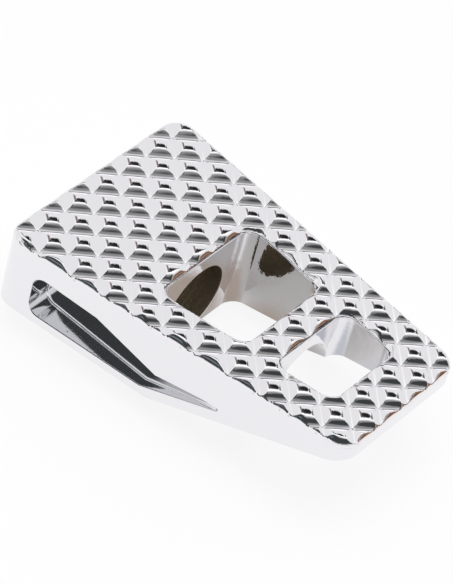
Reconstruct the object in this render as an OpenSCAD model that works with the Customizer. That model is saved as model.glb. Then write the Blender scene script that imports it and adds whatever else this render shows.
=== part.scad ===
// Pad of a motorcycle's rear brake pedal, machined from one solid block.
// It slides onto the round stub of the brake lever. X runs along the stub from the
// wide end, Y across the pad, Z out of the tread. The origin is on the stub's axis,
// at the wide end's face.

/* [Block] */
// Length along the stub
pad_l = 88.6; // [80:0.5:100]
// Width across the wide end
wide_w = 58.5; // [54:0.5:66]
// Width across the narrow end
narrow_w = 38.6; // [34:0.5:44]
// Thickness left at the narrow end
tip_t = 5.4; // [5:0.2:8]
// Angle of the tapered underside
taper_angle = 18.4; // [16:0.2:20]
// Width of the flat keel along the underside
keel_w = 8; // [7:0.5:12]
// Angle of the bevels on both sides of the keel
bevel_angle = 17; // [12:0.5:20]
// Radius of the four upright corners
corner_r = 5.2; // [3:0.2:7]
// Broken edge round the tread and the windows
edge_c = 1.2; // [1:0.1:1.5]

/* [Tread] */
// Distance from groove to groove
knurl_pitch = 6.35; // [5:0.05:8]
// Width of the flat top of a stud
stud_w = 2.7; // [2:0.1:3]
// Width of the flat floor of a groove
groove_w = 1.1; // [0.8:0.1:1.5]
// Depth of the grooves
groove_d = 0.85; // [0.5:0.05:0.95]
// First stud on the centre line, from the wide end
first_stud_x = 4.26; // [3:0.02:6]

/* [Windows] */
// Wide end's block, up to the first window
hub_l = 33.1; // [28:0.1:36]
// Length of the first window
window_l = 21.8; // [18:0.1:24]
// Bar between the two windows
bar_l = 7.8; // [6:0.1:10]
// Length of the second window
small_window_l = 14.5; // [10:0.1:16]
// Rail left on both sides of the windows
rail_w = 10.15; // [9.5:0.05:11]
// Corner radius of the windows
window_r = 3.2; // [2:0.1:4]

/* [Stub bore] */
// Bore for the lever's stub
bore_d = 18.2; // [16:0.1:19]
// Metal between bore and tread
roof_t = 5.3; // [4.5:0.1:6]
// Metal between bore and keel
floor_t = 3.8; // [3:0.1:8]
// Hole for the grub screw, drilled for an M6 thread
screw_d = 5; // [4:0.1:6]
// Grub screw from the wide end
screw_x = 14; // [8:0.5:20]

/* [Side recesses] */
// Distance between the floors of the two recesses
floor_gap = 44; // [42:0.2:48]
// Recess from the wide end
recess_x = 9.6; // [7:0.1:13]
// Upper edge below the tread, at the wide end
brow_z = 6.65; // [6:0.05:8]
// Length of the upper edge before it turns down
brow_l = 16.4; // [12:0.1:20]
// Fall of the upper edge over that length
brow_fall = 1.15; // [0:0.05:1.5]
// Recess's waist from the wide end
waist_x = 42.4; // [40:0.1:46]
// Waist's upper edge below the tread
waist_z = 13.3; // [12:0.1:14]
// Tail's shoulder from the wide end
shoulder_x = 54.5; // [50:0.1:56]
// Tail's shoulder below the tread
shoulder_z = 11.7; // [11.2:0.1:12]
// Tail's pointed tip from the wide end
tail_x = 60.4; // [59:0.1:62]
// Land left under the recess
sill_w = 2.3; // [2:0.1:3]
// Land left along the tapered underside
tail_sill_w = 3; // [2.5:0.1:3.5]
// Corner radius at the recess's wide end
recess_r = 3; // [2:0.1:3.5]
// Radius of the tail's tip
tail_r = 0.4; // [0.3:0.05:0.5]

/* [Hidden] */
$fn = 64;
// Overshoot of the cutters
over = 1;
// Arcs and cones lie this far outside their true tangents, so that they cross the
// straight faces cleanly
blend = 0.01;

top_z = bore_d / 2 + roof_t;
under_z = -bore_d / 2 - floor_t;
pad_t = top_z - under_z;
side_a = atan((wide_w - narrow_w) / 2 / pad_l);
window_x = hub_l;
bar_x = hub_l + window_l;
small_window_x = bar_x + bar_l;

// Half width of the pad, set in from its sloping side by an inset
function half_w(x, inset = 0) = wide_w / 2 - x * tan(side_a) - inset / cos(side_a);
// Height of the tapered underside and of the bevelled side's lower edge
function taper_z(x) = top_z - tip_t - (pad_l - x) * tan(taper_angle);
function bevel_z(x) = under_z + (half_w(x) - keel_w / 2) * tan(bevel_angle);

// A four-cornered plan, with its sides along those of the pad: [x, y, radius]
function plan(x0, x1, inset, r) = [
    [x0, -half_w(x0, inset), r], [x1, -half_w(x1, inset), r],
    [x1, half_w(x1, inset), r], [x0, half_w(x0, inset), r]];

// Corner i of an outline that runs anticlockwise: its point, its two directions,
// its half angle, where its arc starts and ends, and the arc's centre
function corner(o, i) = [o[i].x, o[i].y];
function before(o, i) = corner(o, (i + len(o) - 1) % len(o)) - corner(o, i);
function after(o, i) = corner(o, (i + 1) % len(o)) - corner(o, i);
function unit(v) = v / norm(v);
function half_angle(o, i) = acos(unit(before(o, i)) * unit(after(o, i))) / 2;
function run(o, i) = o[i].z / tan(half_angle(o, i));
function arc_start(o, i) = corner(o, i) + run(o, i) * unit(before(o, i));
function arc_end(o, i) = corner(o, i) + run(o, i) * unit(after(o, i));
function arc_centre(o, i) = corner(o, i)
    + o[i].z / sin(half_angle(o, i)) * unit(unit(before(o, i)) + unit(after(o, i)));
// The corner moved out until both its sides have moved out by a distance
function moved_out(o, i, d) = corner(o, i)
    - d / sin(half_angle(o, i)) * unit(unit(before(o, i)) + unit(after(o, i)));

// Kite from the centre of a corner's arc to a distance outside the corner
module kite(o, i, d) {
    c = arc_centre(o, i);
    polygon([c, arc_start(o, i) + d * unit(arc_start(o, i) - c),
        moved_out(o, i, d), arc_end(o, i) + d * unit(arc_end(o, i) - c)]);
}

// The outline as a flat shape with true arcs at its corners
module rounded(o) {
    difference() {
        polygon([for (i = [0 : len(o) - 1]) corner(o, i)]);
        for (i = [0 : len(o) - 1])
            if (o[i].z > 0)
                difference() {
                    kite(o, i, over);
                    translate(arc_centre(o, i))
                        circle(o[i].z + blend);
                }
    }
}

// Body with the rounded outline at the foot of the tread's broken edges. From there
// its sides lean at 45 degrees: out of the upright when lean is 1, in when it is -1.
module leaning(o, lean, low, high) {
    wide = max(lean * low, lean * high) + over;
    section = [[lean * (low - over), low - over], [wide + over, low - over],
        [wide + over, high + over], [lean * (high + over), high + over]];
    translate([0, 0, top_z - edge_c])
        difference() {
            translate([0, 0, low])
                linear_extrude(high - low)
                    polygon([for (i = [0 : len(o) - 1]) moved_out(o, i, wide)]);
            for (i = [0 : len(o) - 1]) {
                along_side(o, i, 2 * wide)
                    polygon(section);
                translate([0, 0, low - over])
                    corner_waste(o, i, high - low + 2 * over, lean, low - over, 2 * wide);
            }
        }
}

// A section drawn along the side that starts at corner i, and past both its ends.
// The section's X points out of the outline and its Y along Z.
module along_side(o, i, past) {
    p = corner(o, i) - past * unit(after(o, i));
    translate([p.x, p.y, 0])
        rotate([0, 0, atan2(after(o, i).y, after(o, i).x)])
            rotate([90, 0, 90])
                linear_extrude(norm(after(o, i)) + 2 * past)
                    mirror([1, 0])
                        children();
}

// What lies outside the leaning cone of a corner
module corner_waste(o, i, h, lean, foot, reach) {
    c = arc_centre(o, i);
    difference() {
        linear_extrude(h)
            kite(o, i, reach);
        translate([c.x, c.y, 0])
            cylinder(h = h, r1 = o[i].z + blend + lean * foot, r2 = o[i].z + blend + lean * (foot + h));
    }
}

// Everything inside the plan, the broken edge, the side profile and the end section
module block() {
    intersection() {
        leaning(plan(0, pad_l, 0, corner_r), -1, -pad_t, edge_c + over);
        translate([0, 0, under_z])
            linear_extrude(pad_t)
                rounded(plan(0, pad_l, 0, corner_r));
        rotate([90, 0, 0])
            linear_extrude(2 * wide_w, center = true)
                polygon([[-over, taper_z(-over)], [pad_l + over, taper_z(pad_l + over)],
                    [pad_l + over, top_z + over], [-over, top_z + over]]);
        rotate([90, 0, 90])
            linear_extrude(pad_l)
                end_section();
    }
}

// Keel with a bevel on both sides, wider than the pad
module end_section() {
    reach = wide_w;
    rise = (reach - keel_w / 2) * tan(bevel_angle);
    polygon([[-keel_w / 2, under_z], [keel_w / 2, under_z], [reach, under_z + rise],
        [reach, top_z + rise], [-reach, top_z + rise], [-reach, under_z + rise]]);
}

// A window with its broken rim
module window(x, l) {
    o = plan(x, x + l, rail_w, window_r);
    translate([0, 0, under_z - over])
        linear_extrude(pad_t + 2 * over)
            rounded(o);
    leaning(o, 1, -over, edge_c + over);
}

// Bore from the wide end through the bar, into the second window
module stub_bore() {
    rotate([0, 90, 0])
        translate([0, 0, -over])
            cylinder(h = small_window_x + 2 * over, d = bore_d);
    translate([screw_x, 0, under_z - over])
        cylinder(h = -under_z + over, d = screw_d);
}

// Outline of a side recess in X and Z: deep at the wide end, with a slim tail
function recess_outline() = let (
    knee_x = (taper_z(0) + tail_sill_w / cos(taper_angle) - bevel_z(0) - sill_w)
        / (bevel_z(1) - bevel_z(0) - tan(taper_angle)))
    [[recess_x, top_z - brow_z, recess_r],
     [recess_x, bevel_z(recess_x) + sill_w, recess_r],
     [knee_x, bevel_z(knee_x) + sill_w, 0],
     [tail_x, taper_z(tail_x) + tail_sill_w / cos(taper_angle), tail_r],
     [shoulder_x, top_z - shoulder_z, 0],
     [waist_x, top_z - waist_z, 0],
     [recess_x + brow_l, top_z - brow_z - brow_fall, 0]];

// One recess, on the side of positive Y
module recess() {
    rotate([90, 0, 0])
        translate([0, 0, -wide_w])
            linear_extrude(wide_w - floor_gap / 2)
                rounded(recess_outline());
}

// Section across one family of grooves: a tooth in every groove, hanging from a back
// that clears the studs
module comb() {
    clear = over / 4;
    reach = (pad_l + wide_w) / sqrt(2);
    flank = (knurl_pitch - stud_w) / 2;
    root = flank + clear * (flank - groove_w / 2) / groove_d;
    first = floor(-(first_stud_x + wide_w / 2) / sqrt(2) / knurl_pitch);
    last = ceil((pad_l - first_stud_x + narrow_w / 2) / sqrt(2) / knurl_pitch);
    tooth = [[-root, clear], [-groove_w / 2, -groove_d], [groove_w / 2, -groove_d], [root, clear]];
    polygon(concat(
        [[-reach, over], [-reach, clear]],
        [for (i = [first : last], p = tooth) [(i + 0.5) * knurl_pitch, 0] + p],
        [[reach, clear], [reach, over]]));
}

// Straight grooves at 45 degrees, both ways, leave the square studs standing
module grooves() {
    for (way = [-45, 45])
        translate([first_stud_x, 0, top_z])
            rotate([0, 0, way])
                rotate([90, 0, 0])
                    linear_extrude(2 * pad_l, center = true)
                        comb();
}

module pedal_pad() {
    color("gainsboro")
        difference() {
            block();
            window(window_x, window_l);
            window(small_window_x, small_window_l);
            stub_bore();
            recess();
            mirror([0, 1, 0])
                recess();
            grooves();
        }
}

pedal_pad();
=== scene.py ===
"""Pad of a motorcycle's rear brake pedal: one milled block, polished and chrome-plated."""

import math

import bmesh
import bpy
from mathutils import Matrix, Vector


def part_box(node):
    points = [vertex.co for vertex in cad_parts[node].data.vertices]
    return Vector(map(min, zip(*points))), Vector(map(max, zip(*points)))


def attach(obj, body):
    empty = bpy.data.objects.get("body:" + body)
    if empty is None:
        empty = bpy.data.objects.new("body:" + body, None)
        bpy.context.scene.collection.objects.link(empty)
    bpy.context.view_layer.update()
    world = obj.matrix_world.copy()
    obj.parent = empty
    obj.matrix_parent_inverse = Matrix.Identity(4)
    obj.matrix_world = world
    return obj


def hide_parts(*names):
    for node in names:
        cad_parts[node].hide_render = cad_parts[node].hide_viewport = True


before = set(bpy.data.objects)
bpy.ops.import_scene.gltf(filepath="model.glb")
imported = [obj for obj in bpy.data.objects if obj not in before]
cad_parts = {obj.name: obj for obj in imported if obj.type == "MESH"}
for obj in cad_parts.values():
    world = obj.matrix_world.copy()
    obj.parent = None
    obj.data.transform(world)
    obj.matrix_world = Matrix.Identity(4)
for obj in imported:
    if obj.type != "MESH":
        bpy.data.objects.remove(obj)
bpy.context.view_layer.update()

# Camera
# It stands off the near side, towards the narrow end, and looks down on the tread at
# about 45 degrees through a long lens. It is turned a little about its own axis.
camera_place = Vector((0.32134, -0.50846, 0.58547))
camera_right = Vector((0.75028, 0.63269, 0.19178))
camera_up = Vector((-0.56486, 0.46274, 0.68323))
picture_height = 584
focal_pixels = 3816

lens = bpy.data.cameras.new("camera")
lens.sensor_fit = "VERTICAL"
lens.sensor_height = 36
lens.lens = focal_pixels / picture_height * lens.sensor_height
lens.clip_start = 0.01
camera = bpy.data.objects.new("camera", lens)
camera_back = camera_right.cross(camera_up)
camera.matrix_world = Matrix.Translation(camera_place) @ Matrix(
    (camera_right, camera_up, camera_back)).transposed().to_4x4()
bpy.context.scene.collection.objects.link(camera)
bpy.context.scene.camera = camera
bpy.context.scene.view_settings.view_transform = "Standard"

# Floor
# A wide sheet of white paper under the keel, which keeps a soft shadow. Direct sight of it
# is nearly white. The chrome sees ovals of painted shadow on it: grey under the pad, darker
# and warmer under the first window, lighter and bluish under the second.
mm = 0.001
floor_size = 6
floor_drop = 0.2 * mm
glow = 0.85


def add(tree, kind, inputs=None, **settings):
    """Add a node with its settings, and feed its inputs with sockets or plain values."""
    made = tree.nodes.new("ShaderNode" + kind)
    for name, value in settings.items():
        setattr(made, name, value)
    for key, value in (inputs or {}).items():
        if isinstance(value, bpy.types.NodeSocket):
            tree.links.new(value, made.inputs[key])
        else:
            made.inputs[key].default_value = value
    return made


def calc(tree, operation, *values):
    """Outcome of one step of arithmetic on sockets or numbers."""
    return add(tree, "Math", dict(enumerate(values)), operation=operation).outputs[0]


def fade(tree, value, start, end):
    """One up to the start and nothing from the end on, with a smooth step between them."""
    ends = {"Value": value, "From Min": start, "From Max": end, "To Min": 1, "To Max": 0}
    return add(tree, "MapRange", ends, interpolation_type="SMOOTHSTEP").outputs[0]


def blend(tree, share, low, high):
    """The low colour where the share is nothing, the high colour where it is one."""
    return add(tree, "Mix", {0: share, 6: low, 7: high}, data_type="RGBA").outputs[2]


def grey(level):
    """A neutral colour of one level."""
    return level, level, level, 1


sheet = bmesh.new()
bmesh.ops.create_grid(sheet, x_segments=1, y_segments=1, size=floor_size / 2)
bmesh.ops.translate(sheet, verts=sheet.verts, vec=(0, 0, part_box("pedal_pad")[0].z - floor_drop))
sheet_mesh = bpy.data.meshes.new("floor")
sheet.to_mesh(sheet_mesh)
sheet.free()
floor = bpy.data.objects.new("floor", sheet_mesh)
bpy.context.scene.collection.objects.link(floor)

paper = bpy.data.materials.new("floor_paper")
paper.use_nodes = True
tree = paper.node_tree
tree.nodes.clear()
on_paper = add(tree, "TexCoord").outputs["Object"]


def shade_oval(under, x, y, wide, deep, colour):
    """A soft oval of painted shade on the paper, at a place and with half sizes in millimetres."""
    near = add(tree, "Mapping", {"Vector": on_paper, "Location": (x * mm, y * mm, 0),
                                 "Scale": (wide * mm, deep * mm, 1)}, vector_type="TEXTURE").outputs[0]
    flat = add(tree, "VectorMath", {0: near, 1: (1, 1, 0)}, operation="MULTIPLY").outputs[0]
    far = add(tree, "VectorMath", {0: flat}, operation="LENGTH").outputs["Value"]
    return blend(tree, fade(tree, far, 0.4, 1.2), under, colour)


# painted shadow, seen only in the chrome: grey under the pad, dark and warm under the first window,
# lighter and bluish under the second
tone = shade_oval((0.99, 0.99, 1.0, 1), 40, -2, 27, 20, (0.44, 0.43, 0.415, 1))
tone = shade_oval(tone, 42, 12, 9, 9, (0.36, 0.29, 0.235, 1))
tone = shade_oval(tone, 70, -2, 10, 14, (0.58, 0.61, 0.66, 1))
ray = add(tree, "LightPath").outputs
seen = calc(tree, "MAXIMUM", ray["Is Camera Ray"], ray["Is Glossy Ray"])
lit_paper = add(tree, "BsdfDiffuse", {"Color": grey(0.85)}).outputs[0]
tone = blend(tree, ray["Is Camera Ray"], tone, grey(1))
shown_paper = add(tree, "Emission", {"Color": tone}).outputs[0]
share = calc(tree, "MULTIPLY", seen, glow)
paper_look = add(tree, "MixShader", {0: share, 1: lit_paper, 2: shown_paper})
add(tree, "OutputMaterial", {"Surface": paper_look.outputs[0]})
floor.data.materials.append(paper)

# Light
# Soft light from all round, as in a white tent, and one wide lamp over it. The chrome
# shows the tent's dark open front, the bench beside it and what hangs over the far side.
world = bpy.data.worlds.new("tent")
bpy.context.scene.world = world
world.use_nodes = True
tree = world.node_tree
tree.nodes.clear()
outward = add(tree, "TexCoord").outputs["Generated"]


def patch(under, azimuth, elevation, wide, high, soft, colour, ragged=0.0, grain=8):
    """An oval of colour on the tent's wall, by degrees round from the narrow end and
    degrees up, with half sizes in degrees. Ragged is the unevenness of its border."""
    round_by, up_by = math.radians(azimuth), math.radians(elevation)
    middle = Vector((math.cos(up_by) * math.cos(round_by), math.cos(up_by) * math.sin(round_by),
                     math.sin(up_by)))
    side = Vector((0, 0, 1)).cross(middle).normalized()

    def along(axis):
        """Share of the outward direction that lies along an axis."""
        inputs = {0: outward, 1: axis}
        return add(tree, "VectorMath", inputs, operation="DOT_PRODUCT").outputs["Value"]

    off_middle = add(tree, "CombineXYZ", {
        0: along(side / math.sin(math.radians(wide))),
        1: along(middle.cross(side) / math.sin(math.radians(high)))}).outputs[0]
    far = add(tree, "VectorMath", {0: off_middle}, operation="LENGTH").outputs["Value"]
    front = along(middle)
    far = calc(tree, "MULTIPLY_ADD", calc(tree, "LESS_THAN", front, 0.1), 100, far)
    if ragged:
        uneven = add(tree, "TexNoise", {"Vector": outward, "Scale": grain, "Detail": 3}).outputs[0]
        far = calc(tree, "MULTIPLY_ADD", calc(tree, "SUBTRACT", uneven, 0.5), ragged, far)
    return blend(tree, fade(tree, far, 1 - soft, 1 + soft), under, colour)


# the tent's white wall, its dark front with lighter parts, and its lower wall and post
tent = patch((0.9, 0.9, 0.91, 1), -60, 62, 62, 42, 0.12, (0.05, 0.055, 0.055, 1), 0.25, 3)
tent = patch(tent, -105, 40, 7, 6, 0.4, (0.2, 0.235, 0.26, 1), 0.5, 9)
tent = patch(tent, -115, 6, 34, 18, 0.12, grey(1))
tent = patch(tent, -140, 22, 16, 13, 0.2, grey(1))
tent = patch(tent, -130, 30, 9, 10, 0.4, grey(0.6), 0.4, 12)
tent = patch(tent, -125, 14, 14, 2.5, 0.4, grey(0.1), 0.6, 9)
tent = patch(tent, 62, 80, 13, 13, 0.4, grey(0.7), 0.3, 9)
tent = patch(tent, 5, 77, 8.5, 7, 0.4, grey(0.3), 0.4, 9)
# a bright sheet high over the far side, the stand with its arms in front of it
tent = patch(tent, 115, 55, 30, 14, 0.2, grey(1.3))
tent = patch(tent, 118, 47, 8, 6, 0.3, grey(0.02), 0.9, 12)
tent = patch(tent, 130, 51, 7, 3, 0.4, grey(0.08), 0.9, 14)
tent = patch(tent, 103, 43, 2.2, 8, 0.5, grey(0.04), 0.6, 14)
tent = patch(tent, 97, 41, 2.4, 9, 0.5, grey(0.1), 0.6, 14)
tent = patch(tent, 136, 43, 4, 10, 0.6, grey(0.08), 0.8, 14)
tent = patch(tent, 145, 41, 5, 11, 0.6, (0.34, 0.25, 0.25, 1), 0.8, 14)
# the wooden bench beyond the narrow end, with its dark edge and the lit floor before it
tent = patch(tent, 52, 6, 26, 3.5, 0.3, (0.04, 0.035, 0.03, 1), 0.6)
tent = patch(tent, 52, 1, 26, 1.8, 0.3, (0.95, 0.55, 0.38, 1), 0.3)
tent = patch(tent, 43, 18, 16, 10, 0.25, (0.27, 0.15, 0.09, 1), 0.7, 7)

to_camera = add(tree, "LightPath").outputs["Is Camera Ray"]
tent_light = add(tree, "Background", {"Color": tent}).outputs[0]
plain_white = add(tree, "Background", {"Color": grey(1)}).outputs[0]
tent_look = add(tree, "MixShader", {0: to_camera, 1: tent_light, 2: plain_white})
add(tree, "OutputWorld", {"Surface": tent_look.outputs[0]})

key = bpy.data.lights.new("key", "AREA")
key.shape = "DISK"
key.size = 1.6
key.energy = 20
key_lamp = bpy.data.objects.new("key", key)
key_lamp.location = (0.1, -0.3, 1.5)
key_lamp.rotation_euler = (-key_lamp.location).to_track_quat("-Z", "Y").to_euler()
key_lamp.visible_glossy = False
bpy.context.scene.collection.objects.link(key_lamp)

# Pad
# One milled block of metal, polished and chrome-plated all over. Its bore slides onto the
# lever's round stub, and a tapped hole below the bore takes the grub screw that holds it.

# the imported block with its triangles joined, its tread taken off and its edges rounded
outer_round = 0.3 * mm
inner_round = 0.6 * mm
edge_break = 1.2 * mm
sharp_turn = math.radians(30)
flat_turn = math.radians(0.3)
merge_gap = 0.001 * mm
tread_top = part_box("pedal_pad")[1].z


def round_edges(mesh, convex, offset, segments):
    """Round over every sharp edge of one kind: convex or concave."""
    edges = [e for e in mesh.edges if len(e.link_faces) == 2 and e.is_convex == convex
             and e.calc_face_angle() > sharp_turn]
    bmesh.ops.bevel(mesh, geom=edges, offset=offset, offset_type="OFFSET", segments=segments,
                    profile=0.5, affect="EDGES", clamp_overlap=False, material=-1)


pad = bmesh.new()
pad.from_mesh(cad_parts["pedal_pad"].data)
bmesh.ops.remove_doubles(pad, verts=pad.verts, dist=merge_gap)
bmesh.ops.dissolve_limit(pad, angle_limit=flat_turn, verts=pad.verts, edges=pad.edges)
pad.normal_update()
milled_tread = [f for f in pad.faces if f.normal.z > 0.3
                and min(v.co.z for v in f.verts) > tread_top - edge_break - 10 * merge_gap]
bmesh.ops.delete(pad, geom=milled_tread, context="FACES")
round_edges(pad, False, inner_round, 4)
round_edges(pad, True, outer_round, 3)

# the tread made anew as polishing leaves it: square studs with domed tops and soft hips,
# left standing between straight grooves, and full, rounded rims
pitch = 6.35 * mm
stud_half = 1.4 * mm
flank_foot = 2.25 * mm
flank_slope = 0.42
flank_curve = 110
groove_curl = 1.24
first_stud = 4.26 * mm
pad_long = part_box("pedal_pad")[1].x
wide_half = 29.25 * mm
narrow_half = 19.3 * mm
corner_round = 5.2 * mm
rail = 10.15 * mm
window_round = 3.2 * mm
window_spans = ((33.1 * mm, 54.9 * mm), (62.7 * mm, 77.2 * mm))
dome = 0.07 * mm
top_blend = 0.14 * mm
hip_blend = 0.05 * mm
rim_blend = 0.35 * mm
rim_bulge = 0.45
rim_deep = 1.45 * mm
rim_from = 0.5 * mm
wall_blend = 0.01 * mm
foot_run = 0.16 * mm
foot_drop = 0.2 * mm
slack = 0.1 * mm
cut_slack = 0.0005 * mm
crease = math.radians(31)
rings = (0.015, 0.04, 0.08, 0.16, 0.35, 0.6, 0.85, 1.05, 1.2, 1.35, 1.6)
stations = (0, 0.4, 0.75, 1.0, 1.2, 1.4, 1.6, 1.9, 2.25, 2.5, 2.75, 2.95, 3.175)

side_lean = math.atan((wide_half - narrow_half) / pad_long)


def half_width(x, inset):
    """Half the pad's width, set in from its sloping side."""
    return wide_half - x * math.tan(side_lean) - inset / math.cos(side_lean)


def core(x0, x1, inset, radius):
    """The four corners' arc centres of an outline with sides along those of the pad."""
    low, high = x0 + radius, x1 - radius
    side = inset + radius
    return [Vector((low, -half_width(low, side))), Vector((high, -half_width(high, side))),
            Vector((high, half_width(high, side))), Vector((low, half_width(low, side)))]


def from_core(point, corners):
    """The way from the nearest place on a core's border to a point."""
    ways = []
    for a, b in zip(corners, corners[1:] + corners[:1]):
        along = b - a
        share = min(max((point - a).dot(along) / along.length_squared, 0), 1)
        ways.append(point - a - share * along)
    return min(ways, key=lambda way: way.length)


def distance_out(point, corners, radius):
    """How far a point lies outside a rounded outline, less than zero inside it."""
    inside = max((point - a).dot(Vector((b.y - a.y, a.x - b.x)).normalized())
                 for a, b in zip(corners, corners[1:] + corners[:1]))
    return (inside if inside < 0 else from_core(point, corners).length) - radius


def soft_least(a, b, reach):
    """The lesser of two heights, rounded over where they cross."""
    share = max(reach - abs(a - b), 0) / reach
    return min(a, b) - share * share * reach / 4


outline = core(0, pad_long, 0, corner_round)
windows = [core(x0, x1, rail, window_round) for x0, x1 in window_spans]


def distances_in(plan):
    """How far a place lies within the outline, and how far outside each window."""
    return [-distance_out(plan, outline, corner_round)] + [
        distance_out(plan, window, window_round) for window in windows]


def from_stud(across):
    """Distance across one family of grooves from the nearest stud's middle line."""
    return abs((across / pitch + 0.5) % 1 - 0.5) * pitch


def ridge(away):
    """Height of a flank, which steepens to its foot and eases off into the groove."""
    out = max(away - stud_half, 0)
    past = max(away - flank_foot, 0)
    ease = past * past * flank_slope * groove_curl / (pitch - 2 * flank_foot)
    return ease - flank_slope * (away - stud_half) - flank_curve * out * out


def rim_height(inside):
    """Height of the broken edge, by the distance from the wall below it."""
    bulge = rim_bulge * inside * max(1 - inside / edge_break, -0.2)
    foot = foot_drop * max(1 - inside / foot_run, 0) ** 2
    return inside / edge_break * rim_deep + bulge - rim_deep - foot


def tread_height(point):
    """Height of the polished tread over a place in the plan."""
    inside = min(distances_in(point.to_2d()))
    u = from_stud((point.x - first_stud + point.y) / math.sqrt(2))
    v = from_stud((point.x - first_stud - point.y) / math.sqrt(2))
    height = soft_least(soft_least(ridge(u), ridge(v), hip_blend), 0, top_blend)
    spread = math.hypot(u, v) / stud_half
    height -= dome * (spread ** 2 if spread < 1 else 1 + 2 * math.log(spread))
    reach = rim_blend if inside > rim_from else wall_blend
    return tread_top + soft_least(height, rim_height(inside), reach)


# rings of faces inwards from the walls' upper edges, and one flat sheet between them
sheet_z = tread_top - edge_break
wall_top = tread_top + rim_height(0)
for v in [v for v in pad.verts if v.is_boundary]:
    v.co.z = wall_top
border = [e for e in pad.edges if e.is_boundary]
done = 0
for ring in rings:
    grown = bmesh.ops.extrude_edge_only(pad, edges=border)["geom"]
    for v in [g for g in grown if isinstance(g, bmesh.types.BMVert)]:
        plan = v.co.to_2d()
        gaps = distances_in(plan)
        which = gaps.index(min(gaps))
        way = from_core(plan, ([outline] + windows)[which]).normalized() * (ring - done) * mm
        v.co.xy = plan - way if which == 0 else plan + way
        v.co.z = sheet_z
    border = [g for g in grown if isinstance(g, bmesh.types.BMEdge)]
    done = ring
bmesh.ops.triangle_fill(pad, edges=border, use_beauty=True)
pad.normal_update()

# cut along every groove and stud, then lift each place of the sheet to its height
parts = [f for f in pad.faces if all(v.co.z > wall_top - slack for v in f.verts)]
sheet_faces = set(parts)
parts += [e for e in pad.edges if sheet_faces.intersection(e.link_faces)]
parts += [v for v in pad.verts if sheet_faces.intersection(v.link_faces)]
reach = math.ceil((pad_long + wide_half) / math.sqrt(2) / pitch)
offsets = sorted(set(stations) | {-s for s in stations[1:-1]})
for way in (1, -1):
    across = Vector((1, way, 0)).normalized()
    for i in range(-reach, reach + 1):
        for offset in offsets:
            at = Vector((first_stud, 0, 0)) + across * (i * pitch + offset * mm)
            parts = bmesh.ops.bisect_plane(pad, geom=parts, plane_co=at, plane_no=across,
                                           dist=cut_slack)["geom"]
tread = [g for g in parts if isinstance(g, bmesh.types.BMFace)]
for v in {v for f in tread for v in f.verts}:
    if v.co.z > sheet_z - slack / 10:
        v.co.z = tread_height(v.co)
bmesh.ops.triangulate(pad, faces=tread, quad_method="LONG_EDGE", ngon_method="BEAUTY")
bmesh.ops.recalc_face_normals(pad, faces=pad.faces)
for f in pad.faces:
    f.smooth = True
for e in pad.edges:
    e.smooth = e.calc_face_angle() < crease

pad_mesh = bpy.data.meshes.new("pedal_pad_chrome")
pad.to_mesh(pad_mesh)
pad.free()
piece = bpy.data.objects.new("pedal_pad_chrome", pad_mesh)
bpy.context.scene.collection.objects.link(piece)
weighted = piece.modifiers.new("flats", "WEIGHTED_NORMAL")
weighted.keep_sharp = True
weighted.weight = 100

# the plating: mirror-smooth on the polished faces, thin and brown over the turned bore, where
# its colour has painted glints and painted shade, and rougher in the side recesses, where the
# metal below it isn't polished
bore_radius = 9.1 * mm
hub_long = 33.1 * mm
recess_floor = 22 * mm
recess_low = -4.8 * mm
recess_high = 8 * mm
recess_start = 9 * mm
recess_bevel = -19 * mm
taper_slope = math.tan(math.radians(18.4))
window_half = 19 * mm
rim_low = 12.5 * mm
face_slack = 0.1 * mm
plate = (0.86, 0.85, 0.87, 1)
recess_plate = (0.8, 0.8, 0.82, 1)
bore_dark = (0.16, 0.13, 0.09, 1)
bore_light = (1.0, 0.88, 0.66, 1)
bore_metal = 0.6
bore_haze = 0.38
ring_haze = 0.12
recess_haze = 0.03
# heights of the relief in millimetres
wave_high = 0.004
ripple_high = 0.06
ring_high = 0.06
lump_high = 0.012
pimple_high = 0.01


def effect(name, outputs):
    """A node group that takes a place on the piece, with its group input and output."""
    group = bpy.data.node_groups.new(name, "ShaderNodeTree")
    group.interface.new_socket(name="Place", in_out="INPUT", socket_type="NodeSocketVector")
    for label in outputs:
        group.interface.new_socket(name=label, in_out="OUTPUT", socket_type="NodeSocketFloat")
    place = group.nodes.new("NodeGroupInput").outputs[0]
    return group, place, group.nodes.new("NodeGroupOutput").inputs


def noise(tree, place, scale, detail, stretch=(1, 1, 1)):
    """Even noise over the piece, its grains drawn out along the axes with small factors."""
    drawn = add(tree, "VectorMath", {0: place, 1: stretch}, operation="MULTIPLY").outputs[0]
    return add(tree, "TexNoise", {"Vector": drawn, "Scale": scale, "Detail": detail}).outputs[0]


def both(tree, *masks):
    """Where all masks hold."""
    mask = masks[0]
    for other in masks[1:]:
        mask = calc(tree, "MULTIPLY", mask, other)
    return mask


# where the bore, the recesses and the windows are
areas, place, out = effect("areas", ("Bore", "Recess", "Window"))
x, y, z = add(areas, "SeparateXYZ", {0: place}).outputs
off_axis = calc(areas, "SQRT", calc(areas, "MULTIPLY_ADD", y, y, calc(areas, "MULTIPLY", z, z)))
off_middle = calc(areas, "ABSOLUTE", y)
side_at = calc(areas, "MULTIPLY_ADD", x, -math.tan(side_lean), wide_half - 2 * face_slack)
over_taper = calc(areas, "MULTIPLY_ADD", x, -taper_slope, z)
in_bore = both(areas, calc(areas, "LESS_THAN", off_axis, bore_radius + face_slack),
               calc(areas, "LESS_THAN", x, hub_long))
in_recess = both(areas, calc(areas, "GREATER_THAN", side_at, off_middle),
                 calc(areas, "GREATER_THAN", off_middle, recess_floor - face_slack),
                 calc(areas, "LESS_THAN", z, recess_high),
                 calc(areas, "GREATER_THAN", z, recess_low),
                 calc(areas, "GREATER_THAN", over_taper, recess_bevel),
                 calc(areas, "GREATER_THAN", x, recess_start))
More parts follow.
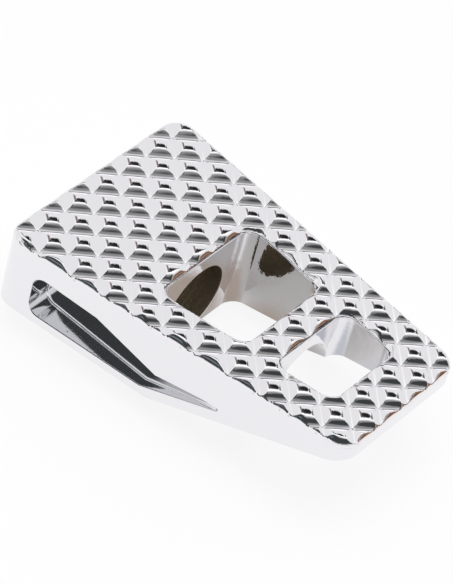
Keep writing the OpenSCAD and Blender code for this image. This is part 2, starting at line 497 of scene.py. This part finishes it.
in_window = both(areas, calc(areas, "LESS_THAN", off_middle, window_half),
                 calc(areas, "LESS_THAN", z, rim_low),
                 calc(areas, "GREATER_THAN", x, hub_long - 5 * face_slack),
                 calc(areas, "GREATER_THAN", off_axis, bore_radius + face_slack))
areas.links.new(in_bore, out["Bore"])
areas.links.new(in_recess, out["Recess"])
areas.links.new(in_window, out["Window"])

# polished faces: faint waves, hairlines in two directions, and a few specks of dust
polish, place, out = effect("polish", ("Waves", "Ripples", "Haze"))
hairs = calc(polish, "MAXIMUM", noise(polish, place, 9000, 2, (1, 0.02, 0.02)),
             noise(polish, place, 7000, 2, (0.03, 1, 0.03)))
specks = add(polish, "TexVoronoi", {"Vector": place, "Scale": 700}).outputs["Distance"]
dusty = calc(polish, "GREATER_THAN", noise(polish, place, 260, 1), 0.6)
dust = both(polish, fade(polish, specks, 0.04, 0.09), dusty)
polish.links.new(noise(polish, place, 160, 2), out["Waves"])
polish.links.new(noise(polish, place, 420, 3), out["Ripples"])
haze = calc(polish, "MULTIPLY_ADD", noise(polish, place, 90, 4), 0.03, 0.012)
haze = calc(polish, "MULTIPLY_ADD", calc(polish, "GREATER_THAN", hairs, 0.68), 0.03, haze)
polish.links.new(calc(polish, "MULTIPLY_ADD", dust, 0.12, haze), out["Haze"])

# turned bore: fine rings round the axis, blotches of thin plating, painted glints along the
# rings, and painted shade that darkens the bore towards its window end
bore_marks_and_light, place, out = effect("bore_marks_and_light", ("Rings", "BlotchesAndPaintedLight"))
rings_at = noise(bore_marks_and_light, place, 1700, 3, (1, 0.03, 0.03))
worn = fade(bore_marks_and_light, noise(bore_marks_and_light, place, 230, 5, (1.6, 0.6, 0.6)), 0.66, 0.4)
# painted shade: the lighter colour fades out from 16 to 32 mm along the bore, which leaves its window
# end dark
inner = fade(bore_marks_and_light, add(bore_marks_and_light, "SeparateXYZ", {0: place}).outputs[0], 16 * mm, 32 * mm)
bore_marks_and_light.links.new(rings_at, out["Rings"])
# painted glints: the plating's blotches are lighter where the ring noise runs high
blotches_and_glints = both(bore_marks_and_light, worn, fade(bore_marks_and_light, rings_at, 0.64, 0.42))
blotches_and_glints = calc(bore_marks_and_light, "MULTIPLY_ADD", blotches_and_glints, 0.5, 0.5)
bore_marks_and_light.links.new(both(bore_marks_and_light, blotches_and_glints, inner), out["BlotchesAndPaintedLight"])

# unpolished metal: lumps, cutter marks along the recess, and bright pimples
unpolished, place, out = effect("unpolished", ("Lumps", "Pimples"))
marks = noise(unpolished, place, 2400, 2, (0.06, 1, 1))
pimples = add(unpolished, "TexVoronoi", {"Vector": place, "Scale": 420}).outputs["Distance"]
sparse = calc(unpolished, "GREATER_THAN", noise(unpolished, place, 300, 1), 0.6)
lumps = calc(unpolished, "MULTIPLY_ADD", marks, 0.25, noise(unpolished, place, 380, 4))
unpolished.links.new(lumps, out["Lumps"])
unpolished.links.new(both(unpolished, fade(unpolished, pimples, 0.05, 0.16), sparse), out["Pimples"])

chrome = bpy.data.materials.new("pad_chrome")
chrome.use_nodes = True
tree = chrome.node_tree
shader = tree.nodes["Principled BSDF"]
on_piece = add(tree, "TexCoord").outputs["Object"]
area = add(tree, "Group", node_tree=areas)
bright = add(tree, "Group", node_tree=polish)
turned = add(tree, "Group", node_tree=bore_marks_and_light)
raw = add(tree, "Group", node_tree=unpolished)
for group in (area, bright, turned, raw):
    tree.links.new(on_piece, group.inputs["Place"])
bore, recess, window = area.outputs

# the bore's colour: blotches of thin plating, with painted glints and painted shade
bore_colour = blend(tree, turned.outputs["BlotchesAndPaintedLight"], bore_dark, bore_light)
colour = blend(tree, bore, plate, bore_colour)
colour = blend(tree, recess, colour, recess_plate)
tree.links.new(colour, shader.inputs["Base Color"])
metal = calc(tree, "MULTIPLY_ADD", bore, bore_metal - 1, 1)
tree.links.new(metal, shader.inputs["Metallic"])
ring_marks = both(tree, turned.outputs["Rings"], bore)
rough = calc(tree, "MULTIPLY_ADD", bore, bore_haze, bright.outputs["Haze"])
rough = calc(tree, "MULTIPLY_ADD", ring_marks, ring_haze, rough)
rough = calc(tree, "MULTIPLY_ADD", recess, recess_haze, rough)
tree.links.new(rough, shader.inputs["Roughness"])

height = calc(tree, "MULTIPLY", bright.outputs["Waves"], wave_high)
for relief, mask, high in ((bright.outputs["Ripples"], window, ripple_high),
                           (turned.outputs["Rings"], bore, ring_high),
                           (raw.outputs["Lumps"], recess, lump_high),
                           (raw.outputs["Pimples"], recess, pimple_high)):
    height = calc(tree, "MULTIPLY_ADD", both(tree, relief, mask), high, height)
bump = add(tree, "Bump", {"Strength": 1, "Distance": 1 * mm, "Height": height})
tree.links.new(bump.outputs[0], shader.inputs["Normal"])

piece.data.materials.clear()
piece.data.materials.append(chrome)
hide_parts("pedal_pad")
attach(piece, "root")
